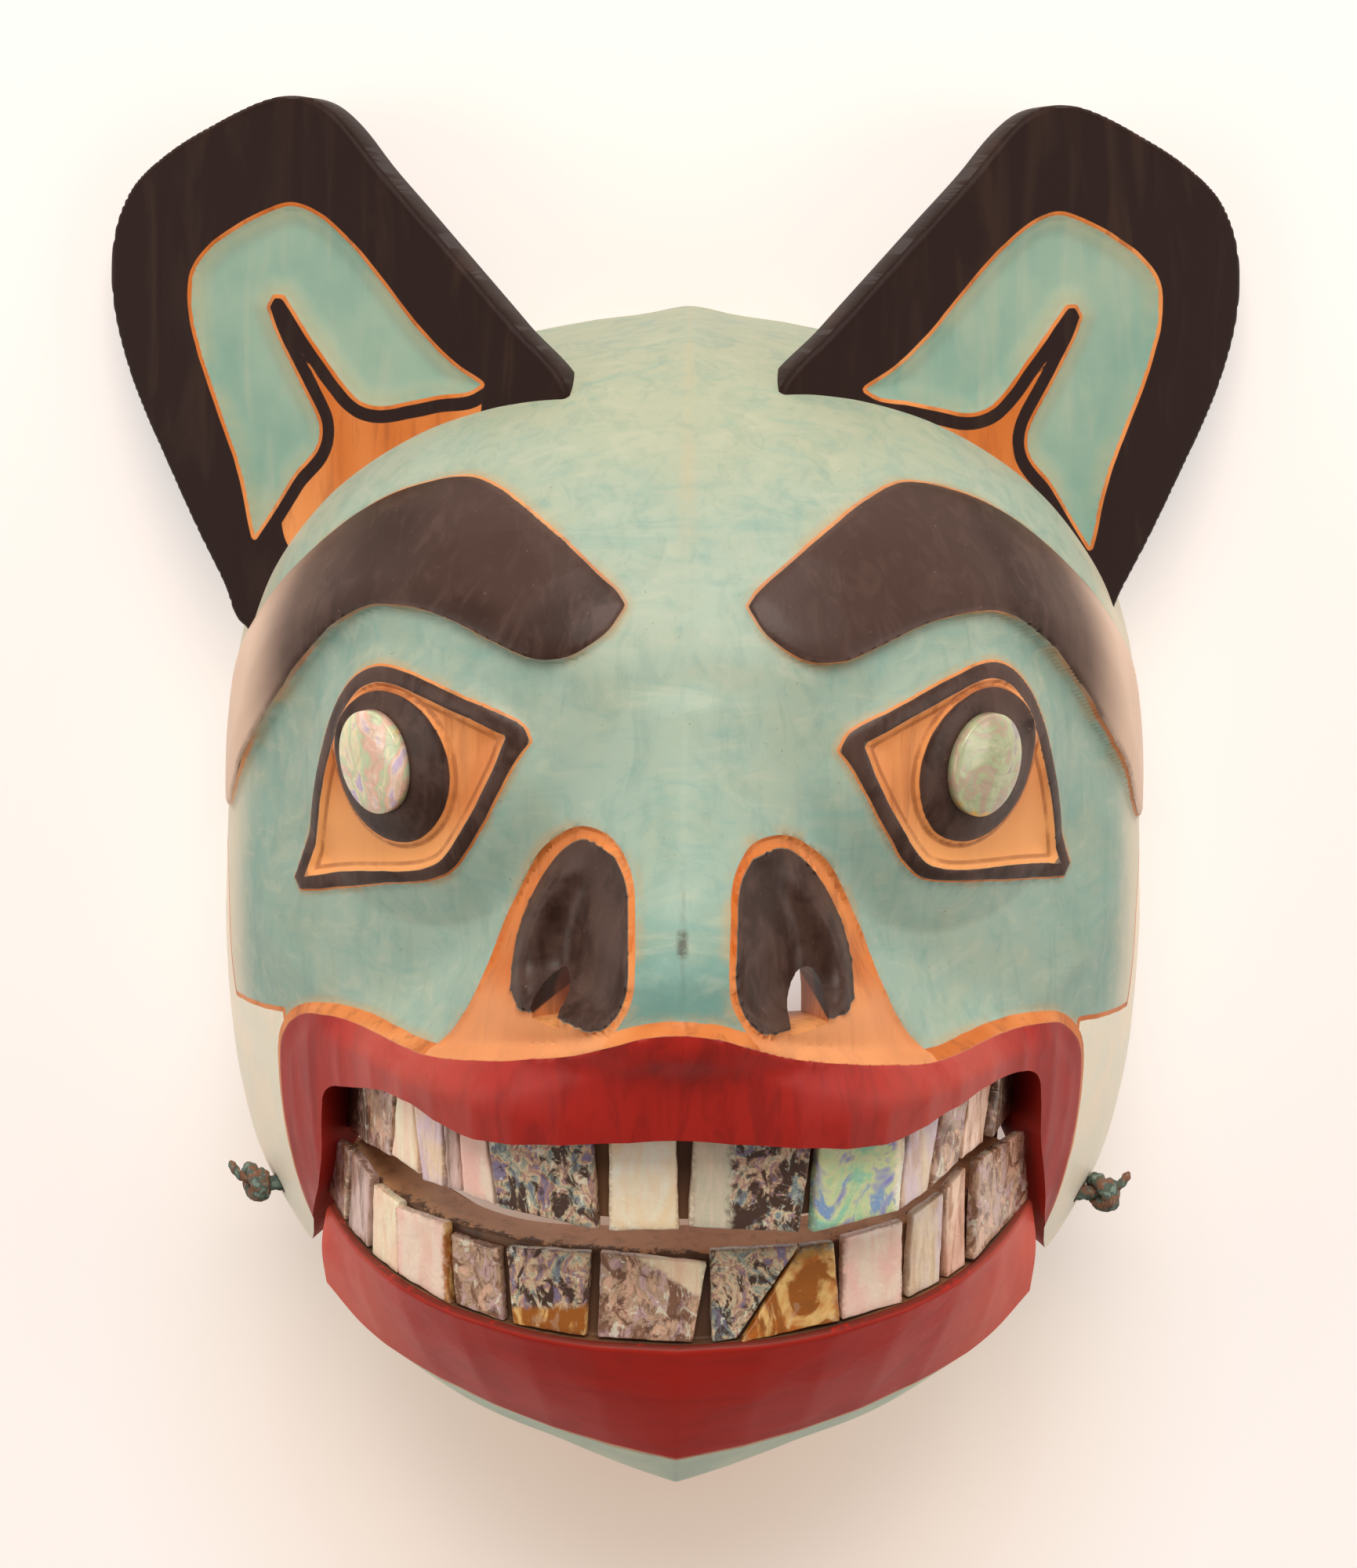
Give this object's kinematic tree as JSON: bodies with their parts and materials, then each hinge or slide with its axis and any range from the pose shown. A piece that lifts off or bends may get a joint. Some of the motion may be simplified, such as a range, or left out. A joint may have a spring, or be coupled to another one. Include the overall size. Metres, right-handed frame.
{
  "type": "bear mask with hinged jaw",
  "caption": "Carved and painted wooden bear mask with separate ears, a jaw hung on knotted cords, and shell plates for teeth and eyes.",
  "frame": {"origin": "middle of the footprint, on the plane that the back rim lies on", "axes": "+Z out of the face (up, as the mask lies on its back rim), +Y toward the ears, +X to the right of the face as it is looked at"},
  "size_m": [0.2656, 0.318, 0.1514],
  "materials": {
    "head_paint": "carved wood, matt green, black and red paint with bare wood lines",
    "jaw_paint": "carved wood, red lip and pale green chin",
    "ear_paint": "carved wood, black rim and green middle, worn edges",
    "shell_inlay": "polished mother of pearl, iridescent",
    "cord": "green twisted cord"
  },
  "bodies": {
    "mask": {"head": "head_paint", "upper_tooth_01": "shell_inlay", "upper_tooth_02": "shell_inlay", "upper_tooth_03": "shell_inlay", "upper_tooth_04": "shell_inlay", "upper_tooth_05": "shell_inlay", "upper_tooth_06": "shell_inlay", "upper_tooth_07": "shell_inlay", "upper_tooth_08": "shell_inlay", "upper_tooth_09": "shell_inlay", "upper_tooth_10": "shell_inlay", "upper_tooth_11": "shell_inlay", "upper_tooth_12": "shell_inlay", "upper_tooth_13": "shell_inlay", "upper_tooth_14": "shell_inlay", "ear_left": "ear_paint", "ear_right": "ear_paint", "eye_disc_left": "shell_inlay", "eye_disc_right": "shell_inlay", "hinge_tie_left": "cord", "hinge_tie_right": "cord"},
    "lower_jaw": {"jaw": "jaw_paint", "lower_tooth_01": "shell_inlay", "lower_tooth_02": "shell_inlay", "lower_tooth_03": "shell_inlay", "lower_tooth_04": "shell_inlay", "lower_tooth_05": "shell_inlay", "lower_tooth_06": "shell_inlay", "lower_tooth_07": "shell_inlay", "lower_tooth_08": "shell_inlay", "lower_tooth_09": "shell_inlay", "lower_tooth_10": "shell_inlay", "lower_tooth_11": "shell_inlay", "lower_tooth_12": "shell_inlay", "lower_tooth_13": "shell_inlay"}
  },
  "joints": [
    {"name": "jaw_hinge", "type": "hinge", "parent": "mask", "child": "lower_jaw", "pos_m": [0.0035, -0.0995, 0.04], "axis": [1, 0, 0], "range_deg": [0, 22]}
  ]
}
